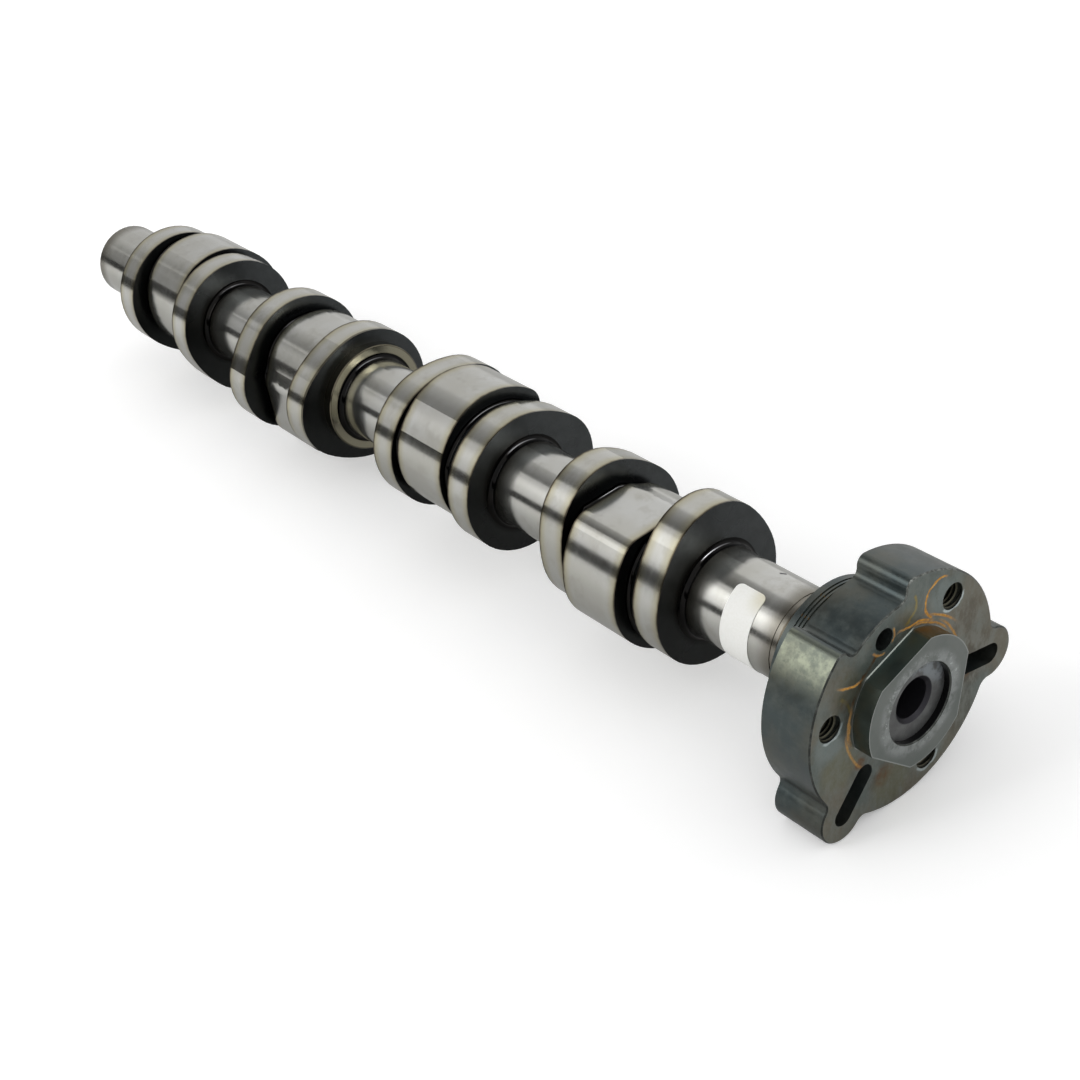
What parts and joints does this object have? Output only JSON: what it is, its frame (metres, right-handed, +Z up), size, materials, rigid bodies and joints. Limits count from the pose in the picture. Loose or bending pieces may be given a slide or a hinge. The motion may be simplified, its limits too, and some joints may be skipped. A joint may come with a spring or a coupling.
{
  "type": "camshaft",
  "caption": "Overhead camshaft with ground journals, paired valve lobes, wide injector lobes and a flanged hub seated on its tapered nose.",
  "frame": {"origin": "shaft axis at the hub flange's front face", "axes": "+X along the shaft out of the hub's front, +Z up, lying as it rests on one ear, the flange rim and a far lobe"},
  "size_m": [0.4272, 0.0802, 0.0718],
  "materials": {
    "camshaft": "ground satin journals and lobes, near-black unground sides",
    "hub": "dark mottled steel with light rust marks",
    "label": "matt bare paper"
  },
  "bodies": {
    "root": {"camshaft": "camshaft", "hub": "hub", "label": "label"}
  },
  "joints": []
}
